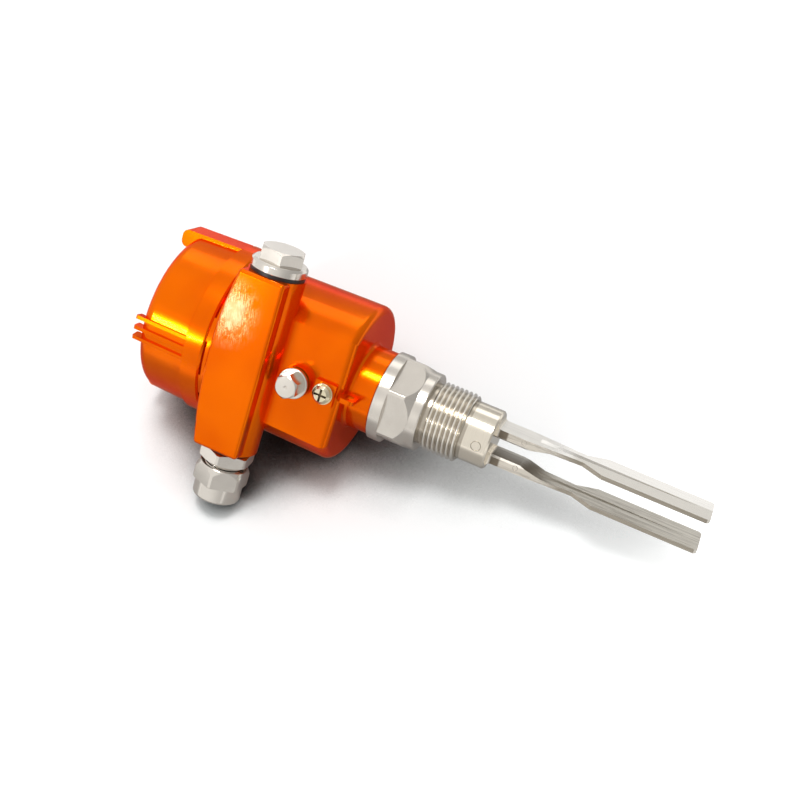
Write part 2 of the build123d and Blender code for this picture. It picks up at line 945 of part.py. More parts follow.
def module_lid():
    """Face plate over the electronics, with two ears and the control windows."""
    ears = block(post_x * 2, lid_ear, lid_z, lid_top)
    for side in (1, -1):
        ears = ears + Pos(side * post_x, 0, 0) * rod(lid_ear / 2, lid_z, lid_top)
    plate = rod(lid_r, lid_z, lid_top) & block(lid_r * 2, lid_half * 2, lid_z, lid_top)
    plate = plate + ears
    plate = plate & Pos(0, -module_y, 0) * rod(cavity_r - control_gap, lid_z, lid_top)
    below = lid_z - overrun
    above = lid_top + overrun
    for side in (1, -1):
        plate = plate - Pos(side * post_x, 0, 0) * rod(
            lid_screw_r + control_gap / 2, below, above)
    plate = plate - Pos(switch_x, switch_y, 0) * block(
        switch_window, switch_knob + control_gap, below, above)
    plate = plate - Pos(pot_x, pot_y, 0) * rod(pot_r + control_gap, below, above)
    for x in led_x:
        plate = plate - Pos(x, led_y, 0) * rod(led_r + control_gap / 2, below, above)
    return at_module(plate)


def module_screws():
    """The two screws of the face plate."""
    screws = []
    for side in (1, -1):
        head = rod(lid_screw_head_r, lid_top, lid_top + lid_screw_head)
        top = lid_top + lid_screw_head
        head = fillet(circles(head, lid_screw_head_r, top), lid_screw_head / 3)
        slot = block(lid_screw_head_r * 2, screw_slot, top - lid_screw_head / 3, top)
        shank = rod(lid_screw_r, lid_z - lid_screw_length + lid_screw_gap, lid_top)
        screws.append(at_module(Pos(side * post_x, 0, 0) * (head - slot + shank)).solid())
    return Compound(children=screws)


def mode_switch_base():
    top = lid_z - control_gap
    base = block(switch_base, switch_base / 2, board_z, top)
    return at_module(Pos(switch_x, switch_y, 0) * base)


def mode_switch():
    """Knob of the min and max slide switch, at one end of its window."""
    low = lid_z - control_gap
    high = lid_top + switch_knob_over
    knob = block(switch_knob, switch_knob, low, high)
    knob = chamfer(knob.edges().filter_by(Axis.Y).group_by(Axis.Z)[-1], control_gap)
    return at_module(Pos(switch_x - switch_travel / 2, switch_y, 0) * knob)


def sensitivity_pot_base():
    top = lid_z - control_gap
    base = block(pot_base, pot_base, board_z, top)
    return at_module(Pos(pot_x, pot_y, 0) * base)


def sensitivity_pot():
    """Slotted rotor of the sensitivity trimmer."""
    top = lid_top + pot_over
    rotor = rod(pot_r, lid_z - control_gap, top)
    slot = block(pot_slot, screw_slot, top - pot_over, top)
    return at_module(Pos(pot_x, pot_y, 0) * (rotor - slot))


def status_leds():
    lamps = []
    for x in led_x:
        stem = rod(led_r, board_z, lid_top + led_over)
        stem = fillet(circles(stem, led_r, lid_top + led_over), led_dome)
        lamps.append(at_module(Pos(x, led_y, 0) * stem).solid())
    return Compound(children=lamps)


def terminal_places():
    first = -(terminal_poles - 1) / 2 * terminal_pitch
    return [first + index * terminal_pitch for index in range(terminal_poles)]


def terminal_block():
    """Terminal strip: wire openings towards the entries, screw wells on top."""
    length = terminal_poles * terminal_pitch + terminal_end * 2
    top = lid_top + terminal_height
    strip = block(length, terminal_depth, lid_top, top)
    front = strip.edges().filter_by(Axis.X).group_by(Axis.Z)[-1].group_by(Axis.Y)[0]
    strip = chamfer(front, terminal_end)
    wire_z = lid_top + terminal_height / 3
    for x in terminal_places():
        well = Pos(x, 0, 0) * rod(terminal_hole_r, top - terminal_height / 2, top + overrun)
        mouth = Pos(x, -terminal_depth / 2, 0) * block(
            terminal_wire_w, terminal_depth, wire_z - terminal_wire_h / 2,
            wire_z + terminal_wire_h / 2)
        strip = strip - well - mouth
    return Pos(0, terminal_y, 0) * strip


def terminal_screws():
    """One clamp screw at the bottom of each well."""
    low = lid_top + terminal_height / 2
    top = low + terminal_screw_head
    screws = []
    for x in terminal_places():
        head = rod(terminal_screw_r, low, top)
        slot = block(terminal_screw_r * 2, screw_slot / 2, top - terminal_screw_head / 2, top)
        screws.append((Pos(x, terminal_y, 0) * (head - slot)).solid())
    return Compound(children=screws)


def stack_ring(low, thick, outer=disc_r):
    return tube(outer, disc_hole_r, low, low + thick)


def electrode(low, turn):
    """Thin contact disc with a solder tab."""
    tab = Pos((tab_reach + tab_root) / 2, 0, 0) * block(
        tab_reach - tab_root, tab_width, low, low + electrode_thick)
    return stack_ring(low, electrode_thick) + Rot(0, 0, turn) * tab


def lower_insulator():
    return stack_ring(stack_z, insulator_thick)


def piezo_drive_disc():
    return stack_ring(drive_z, disc_thick)


def middle_electrode():
    return electrode(middle_z, 0)


def piezo_sense_disc():
    return stack_ring(sense_z, disc_thick)


def upper_electrode():
    return electrode(upper_z, 180)


def upper_insulator():
    return stack_ring(top_insulator_z, insulator_thick)


def stack_stud():
    """Stud welded on the diaphragm, which carries the discs."""
    return rod(stud_r, stack_z, nut_z + nut_height + stud_top_gap)


def stack_nut():
    prism = hexagon(nut_hex, nut_z, nut_z + nut_height)
    return prism - rod(stud_r + seat_gap, nut_z - overrun, nut_z + nut_height + overrun)


def sensor_leads():
    """Two stiff wires from the contact tabs to the board."""
    top = board_z - board_thick
    first = Pos(lead_x, 0, 0) * rod(lead_r, middle_z + electrode_thick, top)
    second = Pos(-lead_x, 0, 0) * rod(lead_r, upper_z + electrode_thick, top)
    return Compound(children=[first.solid(), second.solid()])


PIECES = [
    housing,
    cover,
    cover_seal,
    process_connection,
    neck_seal,
    fork,
    blanking_plug,
    blanking_plug_seal,
    gland_body,
    gland_seal,
    gland_grommet,
    gland_claw,
    gland_slip_ring,
    gland_cap_nut,
    vent_plug,
    vent_seal,
    ground_screw,
    ground_washer,
    module_case,
    circuit_board,
    module_lid,
    module_screws,
    mode_switch_base,
    mode_switch,
    sensitivity_pot_base,
    sensitivity_pot,
    status_leds,
    terminal_block,
    terminal_screws,
    lower_insulator,
    piezo_drive_disc,
    middle_electrode,
    piezo_sense_disc,
    upper_electrode,
    upper_insulator,
    stack_stud,
    stack_nut,
    sensor_leads,
]

os.makedirs("parts", exist_ok=True)
for make in PIECES:
    solid = make()
    export_step(solid, os.path.join("parts", make.__name__ + ".step"))
    print(make.__name__, round(solid.volume, 1), len(solid.solids()), solid.is_valid)
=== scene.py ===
import bpy
import bmesh
import json
import math
from mathutils import Matrix, Vector


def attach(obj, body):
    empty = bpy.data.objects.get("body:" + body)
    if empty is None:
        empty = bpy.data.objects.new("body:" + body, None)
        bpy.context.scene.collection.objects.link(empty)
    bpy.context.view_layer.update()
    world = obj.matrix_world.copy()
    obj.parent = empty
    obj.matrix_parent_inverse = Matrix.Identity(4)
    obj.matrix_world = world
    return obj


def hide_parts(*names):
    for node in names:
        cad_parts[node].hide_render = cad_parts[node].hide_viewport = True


# Tuning fork level switch, lying on a pale table. Metres, +Z along the sensor to its cover.

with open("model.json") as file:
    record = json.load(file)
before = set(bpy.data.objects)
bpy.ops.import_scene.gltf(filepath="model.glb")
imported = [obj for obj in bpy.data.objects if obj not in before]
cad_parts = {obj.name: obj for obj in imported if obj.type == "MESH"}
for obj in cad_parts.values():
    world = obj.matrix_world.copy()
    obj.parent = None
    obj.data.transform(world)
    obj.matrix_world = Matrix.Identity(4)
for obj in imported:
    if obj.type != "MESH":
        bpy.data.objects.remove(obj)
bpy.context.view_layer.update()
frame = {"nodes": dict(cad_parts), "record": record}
nodes = frame["nodes"]
record = frame["record"]
bodyOf = {node: body for body, group in record["behaviour"]["bodies"].items() for node in group}
slotOf = {part["node"]: part["material_slot"] for part in record["subparts"]}
mm = 0.001
print("frame: loaded", len(nodes), "nodes")


class Flow:
    # one socket of a shader tree, so that sums on it read as plain arithmetic
    def __init__(self, finish, socket):
        self.finish = finish
        self.socket = socket

    def maths(self, operation, first, second=0.0):
        return self.finish.node("Math", {"operation": operation}, {0: first, 1: second})

    def __add__(self, other):
        return self.maths("ADD", self, other)

    def __radd__(self, other):
        return self.maths("ADD", other, self)

    def __sub__(self, other):
        return self.maths("SUBTRACT", self, other)

    def __rsub__(self, other):
        return self.maths("SUBTRACT", other, self)

    def __mul__(self, other):
        return self.maths("MULTIPLY", self, other)

    def __rmul__(self, other):
        return self.maths("MULTIPLY", other, self)

    def __truediv__(self, other):
        return self.maths("DIVIDE", self, other)

    def __pow__(self, other):
        return self.maths("POWER", self, other)

    def __lt__(self, other):
        return self.maths("LESS_THAN", self, other)

    def atMost(self, other):
        return self.maths("MINIMUM", self, other)

    def size(self):
        return self.maths("ABSOLUTE", self)

    def wave(self):
        return self.maths("SINE", self)


class Finish:
    # builds one material's tree
    def __init__(self, name, tree=None):
        if tree is None:
            self.material = bpy.data.materials.new(name)
            self.material.use_nodes = True
            tree = self.material.node_tree
        self.tree = tree
        self.tree.nodes.clear()

    def node(self, kind, settings=None, values=None, output=0):
        made = self.tree.nodes.new("ShaderNode" + kind)
        for key, value in (settings or {}).items():
            setattr(made, key, value)
        for key, value in (values or {}).items():
            if isinstance(value, Flow):
                self.tree.links.new(value.socket, made.inputs[key])
            else:
                made.inputs[key].default_value = value
        return Flow(self, made.outputs[output]) if len(made.outputs) else None

    def place(self):
        return self.node("TexCoord", output="Object")

    def parts(self, place):
        split = self.node("SeparateXYZ", values={0: place}).socket.node
        return [Flow(self, socket) for socket in split.outputs]

    def vector(self, x, y, z):
        return self.node("CombineXYZ", values={0: x, 1: y, 2: z})

    def stretch(self, place, scale):
        return self.node("VectorMath", {"operation": "MULTIPLY"}, {0: place, 1: scale})

    def noise(self, place, scale, detail=2.0, rough=0.5, twist=0.0):
        return self.node("TexNoise", {"noise_dimensions": "3D"}, {
            "Vector": place, "Scale": scale, "Detail": detail, "Roughness": rough,
            "Distortion": twist})

    def rings(self, reach, scale, detail=3.0, rough=0.7):
        # lathe marks: noise that changes with one measure only
        return self.noise(self.vector(0.0, 0.0, reach), scale, detail, rough)

    def ease(self, value, low, high, start=0.0, end=1.0):
        return self.node("MapRange", {"interpolation_type": "SMOOTHSTEP", "clamp": True}, {
            "Value": value, "From Min": low, "From Max": high, "To Min": start, "To Max": end})

    def mix(self, share, first, second):
        return self.node("Mix", {"data_type": "RGBA"}, {0: share, 6: first, 7: second}, output=2)

    def bump(self, height, strength, depth, under=None):
        values = {"Height": height, "Strength": strength, "Distance": depth}
        if under is not None:
            values["Normal"] = under
        return self.node("Bump", values=values)

    def surface(self, **values):
        shader = self.node("BsdfPrincipled", values={
            key.replace("_", " "): value for key, value in values.items() if value is not None})
        self.node("OutputMaterial", values={"Surface": shader})
        return self.material


def colour(red, green, blue):
    # the linear value of a screen colour written as 0 to 255
    return [((v / 255 + 0.055) / 1.055) ** 2.4 if v > 10 else v / 255 / 12.92
            for v in (red, green, blue)] + [1.0]


def darker(tint, share):
    return [v * share for v in tint[:3]] + [1.0]


# threads drawn in the surface: radii between which they fade in and out, range and pitch
coverThread = {
    "radii": (36.3 * mm, 36.6 * mm, 36.9 * mm, 37.2 * mm),
    "range": (104.0 * mm, 110.2 * mm),
    "pitch": 2.0 * mm,
    "depth": 0.7 * mm,
    "runOut": 0.3 * mm,
}
glandThread = {
    "radii": (8.7 * mm, 9.1 * mm, 9.4 * mm, 9.8 * mm),
    "range": (50.4 * mm, 62.5 * mm),
    "pitch": 1.5 * mm,
    "depth": 0.525 * mm,
    "runOut": 0.3 * mm,
}


def threadBump(f, under, first, second, along, thread):
    reach = (first * first + second * second) ** 0.5
    inner, low, high, outer = thread["radii"]
    start, end = thread["range"]
    band = f.ease(reach, inner, low) * f.ease(reach, outer, high)
    band = band * f.ease(along, start - thread["runOut"], start)
    band = band * f.ease(along, end + thread["runOut"], end)
    turn = f.node("Math", {"operation": "ARCTAN2"}, {0: second, 1: first})
    ridge = (along * (2 * math.pi / thread["pitch"]) - turn).wave() * 0.5 + 0.5
    return f.bump(ridge * band, 1.0, thread["depth"], under)


# glossy metallic orange, a little deeper in places, with a fine orange peel
paint = {
    "colour": colour(240, 106, 0),
    "deep": colour(230, 94, 0),
    "driftScale": 26.0,
    "roughness": 0.16,
    "roughDrift": 0.06,
    "metallic": 0.75,
    "coat": 0.05,
    "coatRoughness": 0.04,
    "specular": 0.2,
    "glossTint": colour(255, 130, 20),
    "peelScale": 900.0,
    "speckScale": 2600.0,
    "peelStrength": 0.35,
    "peelDepth": 0.02 * mm,
}

# the rubbed patch on the front of the entry block, real scratched wear under a painted highlight
# and a painted sheen: place and reach in x and z, the depths in y where the front begins, and the
# strokes across it
scuffAndHighlight = {
    "place": (23.3 * mm, 89.5 * mm),
    "reach": (16.0 * mm, 13.0 * mm),
    "front": (-41.0 * mm, -41.8 * mm),
    "fringe": (1.20, 0.35),
    "highlightCore": (0.72, 0.05),
    "ragged": 0.7,
    "paleWearAndHighlight": colour(255, 222, 172),
    "paintedSheen": colour(255, 150, 20),
    "paintedSheenShare": 0.18,
    "paleWearAndHighlightShare": 0.75,
    "strokeX": (170.0, -380.0),
    "strokeZ": (40.0, 2300.0),
    "stroke": (0.42, 0.64),
    "crossX": (420.0, 900.0),
    "crossZ": 1300.0,
    "cross": (0.52, 0.66),
    "crossShare": 0.4,
    "gapScale": 230.0,
    "gaps": (0.30, 0.50),
    "fringeShare": 0.7,
    "highlightCoreShare": 0.6,
    "roughness": 0.22,
    "strength": 0.6,
    "depth": 0.04 * mm,
}


def scuffAndHighlightPatch(f, place, drift):
    # how much the patch and its painted sheen show at a point, and how much of it is painted pale:
    # the scratches, and a core of painted highlight
    r = scuffAndHighlight
    x, y, z = f.parts(place)
    stroke = f.noise(f.vector(x * r["strokeX"][0] + z * r["strokeZ"][0], 0.0,
                              z * r["strokeZ"][1] + x * r["strokeX"][1]), 1.0, 4.0, 0.62, 0.3)
    cross = f.noise(f.vector(x * r["crossX"][0], 0.0, z * r["crossZ"] + x * r["crossX"][1]),
                    1.0, 3.0, 0.6, 0.2)
    across, along = [(value - centre) / reach for value, centre, reach in zip(
        (x, z), r["place"], r["reach"])]
    far = (across * across + along * along) ** 0.5 + (drift - 0.5) * r["ragged"]
    front = f.ease(y, *r["front"])
    scuffAndSheenArea = f.ease(far, *r["fringe"]) * front
    # the patch's core is a painted highlight, pale whether scratched or not
    highlightCore = f.ease(far, *r["highlightCore"]) * front
    scratch = f.ease(stroke, *r["stroke"]) + f.ease(cross, *r["cross"]) * r["crossShare"]
    unbroken = f.ease(f.noise(place, r["gapScale"], 3.0, 0.6), *r["gaps"])
    scratch = scratch.atMost(1.0) * unbroken
    scratchAndHighlight = (scuffAndSheenArea * scratch * r["fringeShare"]
            + highlightCore * (scratch * (1.0 - r["highlightCoreShare"]) + r["highlightCoreShare"])).atMost(1.0)
    return scuffAndSheenArea, scratchAndHighlight


def orangePaint():
    f = Finish("orangePaint")
    place = f.place()
    x, y, z = f.parts(place)
    drift = f.noise(place, paint["driftScale"], 3.0)
    peel = f.noise(place, paint["peelScale"], 2.0)
    speck = f.noise(place, paint["speckScale"], 1.0)
    scuffAndSheenArea, scratchAndHighlight = scuffAndHighlightPatch(f, place, drift)
    base = f.mix(f.ease(drift, 0.35, 0.65), paint["deep"], paint["colour"])
    # a painted sheen over the patch, then its scratches and core in a pale painted highlight
    base = f.mix(scuffAndSheenArea * scuffAndHighlight["paintedSheenShare"], base, scuffAndHighlight["paintedSheen"])
    base = f.mix(scratchAndHighlight * scuffAndHighlight["paleWearAndHighlightShare"], base, scuffAndHighlight["paleWearAndHighlight"])
    skin = f.bump(peel * 0.7 + speck * 0.3, paint["peelStrength"], paint["peelDepth"])
    skin = f.bump(scratchAndHighlight, scuffAndHighlight["strength"], scuffAndHighlight["depth"], skin)
    skin = threadBump(f, skin, x, y, z, coverThread)
    return f.surface(
        Base_Color=base, Normal=skin, Metallic=paint["metallic"],
        Roughness=paint["roughness"] + drift * paint["roughDrift"] + scratchAndHighlight * scuffAndHighlight["roughness"],
        Coat_Weight=paint["coat"], Coat_Roughness=paint["coatRoughness"],
        Specular_IOR_Level=paint["specular"], Specular_Tint=paint["glossTint"])


# the cross recess in the ground screw's head, darkened with painted shade
crossRecess = {
    "height": 42.7 * mm,
    "reach": 3.1 * mm,
    "depth": (-34.3 * mm, -33.7 * mm),
    "shade": colour(112, 100, 80),
}

# what turned and plated metals share; the faces round the gland's axis and the vent plug are
# ringed from their own middles
plate = {
    "cloudScale": 90.0,
    "fineScale": 1500.0,
    "dull": 0.94,
    "polish": 0.05,
    "fineShare": 0.04,
    "ringScale": 5200.0,
    "ringDepth": 0.03 * mm,
    "grainDepth": 0.02 * mm,
    "faceScale": 3600.0,
    "faceStrength": 0.5,
    "faceDepth": 0.04 * mm,
    "glandAxis": (-27.1 * mm, 80.2 * mm),
    "ventHeight": 56.7 * mm,
    "ventReach": 12.0 * mm,
}


def recessShade(f, x, y, z, recess):
    up = z - recess["height"]
    reach = (x * x + up * up) ** 0.5
    return f.ease(y, *recess["depth"]) * (reach < recess["reach"])


def faceRings(f, x, y, z, under):
    # rings on the turned ends of the gland, the blanking plug and the vent plug
    depth, height = plate["glandAxis"]
    gland = ((y - depth) ** 2.0 + (z - height) ** 2.0) ** 0.5
    vent = (x * x + (z - plate["ventHeight"]) ** 2.0) ** 0.5
    nearVent = x.size() < plate["ventReach"]
    reach = nearVent * vent + (1.0 - nearVent) * gland
    ringed = f.noise(f.vector(reach, 0.0, 0.0), plate["faceScale"], 3.0, 0.7)
    ringed = f.bump(ringed, plate["faceStrength"], plate["faceDepth"], under)
    return threadBump(f, ringed, y - depth, z - height, x * -1.0, glandThread)


def metal(name, tint, roughness, rings=0.0, grain=0.0, faces=False, recess=None):
    # turned or plated metal: rings run round the sensor's axis
    f = Finish(name)
    place = f.place()
    x, y, z = f.parts(place)
    cloud = f.noise(place, plate["cloudScale"], 3.0)
    fine = f.noise(place, plate["fineScale"], 2.0)
    base = f.mix(f.ease(cloud, 0.3, 0.7), darker(tint, plate["dull"]), tint)
    rough = roughness - plate["polish"] / 2 + cloud * plate["polish"] + fine * plate["fineShare"]
    if recess:
        base = f.mix(recessShade(f, x, y, z, recess), base, recess["shade"])
    normal = None
    if rings:
        normal = f.bump(f.rings(z, plate["ringScale"]), rings, plate["ringDepth"])
    if grain:
        normal = f.bump(fine, grain, plate["grainDepth"], normal)
    if faces:
        normal = faceRings(f, x, y, z, normal)
    return f.surface(Base_Color=base, Roughness=rough, Metallic=1.0, Normal=normal)


# the fork: ground blades below a turned sleeve; a pair of heights is where a tone fades in. The
# blades' tones hold painted shade and a painted reflection. They are darker where the blades look
# inward or sideways, deepest at the inward roots and at the top of the sides, lighter on the sides
# near the root, and darker on the near half of the outer faces
steel = {
    "bright": colour(240, 237, 231),
    # painted shade: inner on faces looking toward the other tine, side on the narrow faces,
    # rootSide where that shade is lighter near the root; bevel is a painted reflection, darker, on
    # the near half of the outer faces; the streaks' dark also stands for painted shade at the roots
    "inner": colour(206, 201, 190),
    "side": colour(168, 160, 146),
    "streakAndShade": colour(120, 110, 96),
    "bevel": colour(186, 180, 168),
    "sleeve": colour(228, 219, 203),
    "rootSide": colour(214, 207, 195),
    "bladeTop": (-33.6 * mm, -35.0 * mm),
    "bevelFrom": (-66.0 * mm, -72.0 * mm),
    "rootShade": (-68.0 * mm, -50.0 * mm),
    "rootPale": (-70.0 * mm, -58.0 * mm),
    "rootFacet": (-39.2 * mm, -38.2 * mm),
    "middle": (0.6 * mm, -0.6 * mm),
    "bevelShare": 0.6,
    "tineMiddle": 7.4 * mm,
    "inward": (0.35, 0.75),
    "sideways": (0.6, 0.9),
    "streakScale": (1300.0, 1300.0, 36.0),
    "hairScale": (5200.0, 5200.0, 130.0),
    "ringScale": 4200.0,
    "roughness": 0.11,
    "rootRoughness": 0.40,
    "inwardRoughness": 0.16,
    "lineRoughness": 0.10,
    "lineStrength": 0.25,
    "lineDepth": 0.02 * mm,
}


def forkSteel():
    # blades are streaked along their length; painted shade darkens them where they look inward or
    # sideways, and the inward faces are rougher
    f = Finish("groundSteel")
    place = f.place()
    x, y, z = f.parts(place)
    acrossFace, depthFace, _ = f.parts(f.node("TexCoord", output="Normal"))
    blade = f.ease(z, *steel["bladeTop"])
    root = f.ease(z, *steel["rootShade"])
    inward = f.ease(acrossFace * x * (-1 / steel["tineMiddle"]), *steel["inward"]) * blade
    sideways = f.ease(depthFace.size(), *steel["sideways"]) * blade
    streakAndShade = f.noise(f.stretch(place, steel["streakScale"]), 1.0, 3.0, 0.6)
    hair = f.noise(f.stretch(place, steel["hairScale"]), 1.0, 2.0, 0.6)
    ringed = f.rings(z, steel["ringScale"])
    lines = blade * (streakAndShade * 0.6 + hair * 0.4) + (1.0 - blade) * ringed
    # a painted reflection darkens the near half of the outer faces
    nearHalfPaintedReflection = f.ease(y, *steel["middle"]) * blade * (1.0 - inward) * f.ease(z, *steel["bevelFrom"])
    outer = f.mix(nearHalfPaintedReflection * steel["bevelShare"], steel["bright"], steel["bevel"])
    base = f.mix(blade, steel["sleeve"], outer)
    # painted shade on the inward faces, deepest towards the roots
    base = f.mix(inward, base, f.mix(root, steel["inner"], steel["streakAndShade"]))
    # painted shade on the narrow faces, lighter near the root and darkest at the top of the blade
    flank = f.mix(f.ease(z, *steel["rootPale"]), steel["side"], steel["rootSide"])
    flank = f.mix(f.ease(z, *steel["rootFacet"]), flank, steel["streakAndShade"])
    base = f.mix(sideways, base, flank)
    grooves = f.ease(lines, 0.36, 0.54, 0.75, 0.0) * (inward * 0.75 + sideways * 0.5 + 0.15)
    base = f.mix(grooves, base, steel["streakAndShade"])
    rough = steel["roughness"] + inward * steel["inwardRoughness"] + lines * steel["lineRoughness"]
    return f.surface(Base_Color=base, Metallic=1.0,
                     Roughness=rough + blade * root * steel["rootRoughness"],
                     Normal=f.bump(lines, steel["lineStrength"], steel["lineDepth"]))


# the cut thread: bright crests and roots darkened with painted shade, between two radii
cut = {
    "crest": colour(236, 231, 222),
    "root": colour(182, 173, 158),
    "radii": (15.0 * mm, 16.1 * mm),
    "ragged": 0.3 * mm,
    "roughness": 0.15,
}


def threadSteel():
    f = Finish("threadSteel")
    place = f.place()
    x, y, z = f.parts(place)
    cloud = f.noise(place, 600.0, 3.0)
    reach = (x * x + y * y) ** 0.5 + (cloud - 0.5) * cut["ragged"]
    # the roots' darker colour is painted shade
    base = f.mix(f.ease(reach, *cut["radii"]), cut["root"], cut["crest"])
    return f.surface(Base_Color=base, Roughness=cut["roughness"] + cloud * 0.10, Metallic=1.0,
                     Normal=f.bump(f.rings(z, 7000.0, 2.0, 0.6), 0.2, 0.02 * mm))


def rubber():
    f = Finish("blackRubber")
    fine = f.noise(f.place(), 1800.0, 3.0)
    return f.surface(Base_Color=f.mix(fine, colour(14, 14, 14), colour(34, 33, 32)),
                     Roughness=0.34 + fine * 0.16, Normal=f.bump(fine, 0.3, 0.02 * mm))


def plastic(name, tint, roughness=0.42):
    f = Finish(name)
    fine = f.noise(f.place(), 2200.0, 3.0)
    return f.surface(Base_Color=f.mix(f.ease(fine, 0.3, 0.7), darker(tint, 0.8), tint),
                     Roughness=roughness + fine * 0.12, Normal=f.bump(fine, 0.25, 0.02 * mm))


finishes = {
    "orange_paint": orangePaint(),
    "stainless": metal("turnedStainless", colour(212, 205, 195), 0.22, rings=0.22),
    "nickel_plated_brass": metal("nickelPlate", colour(224, 217, 207), 0.15, grain=0.06,
                                 faces=True),
    "zinc_steel": metal("yellowZinc", colour(222, 210, 180), 0.2, grain=0.1, recess=crossRecess),
    "black_rubber": rubber(),
    "black_plastic": plastic("blackPlastic", colour(30, 30, 32)),
    "grey_plastic": plastic("greyPlastic", colour(176, 178, 180)),
    "green_plastic": plastic("greenPlastic", colour(58, 140, 84)),
    "white_plastic": plastic("whitePlastic", colour(232, 232, 226)),
    "blue_plastic": plastic("bluePlastic", colour(38, 88, 180)),
    "led_lens": plastic("lampLens", colour(96, 200, 90), 0.2),
    "board_green": plastic("circuitBoard", colour(22, 104, 62), 0.3),
    "insulation_ceramic": plastic("whiteCeramic", colour(236, 232, 220), 0.5),
    "piezo_ceramic": plastic("piezoCeramic", colour(158, 146, 128), 0.5),
    "contact_brass": metal("contactBrass", colour(216, 184, 120), 0.3, grain=0.1),
    "tinned_wire": metal("tinnedWire", colour(210, 208, 202), 0.35, grain=0.1),
}
groundFinish = forkSteel()
cutFinish = threadSteel()
print("finishes ready:", len(finishes), "and two for the fork and the cut thread")


def finishPiece(obj, slotName, body, *replaced, finish=None):
    obj.data.materials.clear()
    obj.data.materials.append(finish or finishes[slotName])
    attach(obj, body)
    if replaced:
        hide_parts(*replaced)


def newObject(name, data):
    obj = bpy.data.objects.new(name, data)
    bpy.context.scene.collection.objects.link(obj)
    return obj


def turned(right, up, back, place):
    turn = Matrix((right, up, back)).transposed().to_4x4()
    turn.translation = place
    return turn


def shadeByAngle(form, mesh, angle):
    for face in form.faces:
        face.smooth = True
    for edge in form.edges:
        edge.smooth = not (edge.is_manifold and edge.calc_face_angle(0) > math.radians(angle))
    form.to_mesh(mesh)
    form.free()


# how the copies of CAD nodes are cleaned: corners merged within a distance, flat faces joined
# below an angle in degrees
cleaning = {"merge": 0.004 * mm, "onPlane": 0.001 * mm, "flat": 0.4}


def keepUpper(form, height):
    # cut a hollow form off at a height and close the ring between its two rims
    everything = form.verts[:] + form.edges[:] + form.faces[:]
    cutOff = bmesh.ops.bisect_plane(form, geom=everything, dist=cleaning["onPlane"],
                                    plane_co=(0, 0, height), plane_no=(0, 0, 1),
                                    clear_inner=True)
    rims = [part for part in cutOff["geom_cut"] if isinstance(part, bmesh.types.BMEdge)]
    bmesh.ops.bridge_loops(form, edges=rims)
    bmesh.ops.recalc_face_normals(form, faces=form.faces)


def softened(nodeName, name, width, angle, steps=3, keepAbove=None):
    # a merged copy of a CAD node with its edges rounded, which stands for that node
    mesh = nodes[nodeName].data.copy()
    mesh.name = name
    form = bmesh.new()
    form.from_mesh(mesh)
    bmesh.ops.remove_doubles(form, verts=form.verts, dist=cleaning["merge"])
    if keepAbove is not None:
        keepUpper(form, keepAbove)
    bmesh.ops.dissolve_limit(form, angle_limit=math.radians(cleaning["flat"]),
                             verts=form.verts, edges=form.edges)
    shadeByAngle(form, mesh, angle)
    obj = newObject(name, mesh)
    bevel = obj.modifiers.new("roundedEdges", "BEVEL")
    bevel.width = width * mm
    bevel.segments = steps
    bevel.limit_method = "ANGLE"
    bevel.angle_limit = math.radians(angle)
    bevel.miter_outer = "MITER_ARC"
    evened = obj.modifiers.new("evenNormals", "WEIGHTED_NORMAL")
    evened.keep_sharp = True
    return obj


# for each piece the width of its rounded edges in mm, and the angle in degrees from which an
# edge is one
edges = {
    "housing": (0.4, 15.0),
    "cover": (0.25, 15.0),
    "fork": (0.22, 10.0),
    "blanking_plug": (0.22, 24.0),
    "gland_body": (0.18, 24.0),
    "gland_cap_nut": (0.22, 24.0),
    "vent_plug": (0.15, 24.0),
    "ground_screw": (0.15, 24.0),
    "ground_washer": (0.12, 24.0),
}

for nodeName, (width, angle) in edges.items():
    obj = softened(nodeName, nodeName + "Skin", width, angle)
    finishPiece(obj, slotOf[nodeName], bodyOf[nodeName], nodeName,
                finish=groundFinish if nodeName == "fork" else None)
for nodeName, obj in nodes.items():
    if nodeName not in edges:
        obj.data.materials.clear()
        obj.data.materials.append(finishes[slotOf[nodeName]])
print("nodes dressed:", len(nodes), "of them with rounded edges:", len(edges))


# the G 1 thread and the sleeve that carries it; columns is how many stand round it
pipeThread = {
    "crest": 16.6245 * mm,
    "pitch": 2.309 * mm,
    "low": -19.2 * mm,
    "high": -2.2 * mm,
    "chamfer": 0.9 * mm,
    "relief": 14.9 * mm,
    "stem": 14.2 * mm,
    "end": -21.0 * mm,
    "top": 0.01 * mm,
    "bore": 11.0 * mm,
    "columns": 240,
    "merge": 0.002 * mm,
    "crease": 38.0,
}

# one pitch of the rounded 55 degree form, in pitches: radius and whole depth, and the angles
# round the crest in radians
pitchForm = {
    "rounding": 0.1373,
    "depth": 0.6403,
    "halfDepth": 0.3202,
    "turns": (0.0, 0.436, 0.785, 1.091),
}


def threadForm():
    # place along the thread and depth below its crest
    rounding, depth = pitchForm["rounding"], pitchForm["depth"]
    crest = [(rounding * math.sin(turn), rounding * (1 - math.cos(turn)))
             for turn in pitchForm["turns"]]
    root = [(0.5 - along, depth - deep) for along, deep in reversed(crest)]
    half = crest + [(0.25, pitchForm["halfDepth"])] + root
    return half + [(1 - along, deep) for along, deep in reversed(half[:-1])]


def threadRadius(form, share):
    share = share % 1.0
    for (low, deepLow), (high, deepHigh) in zip(form, form[1:]):
        if share <= high:
            deep = deepLow + (share - low) / (high - low) * (deepHigh - deepLow)
            return pipeThread["crest"] - pipeThread["pitch"] * deep
    return pipeThread["crest"]


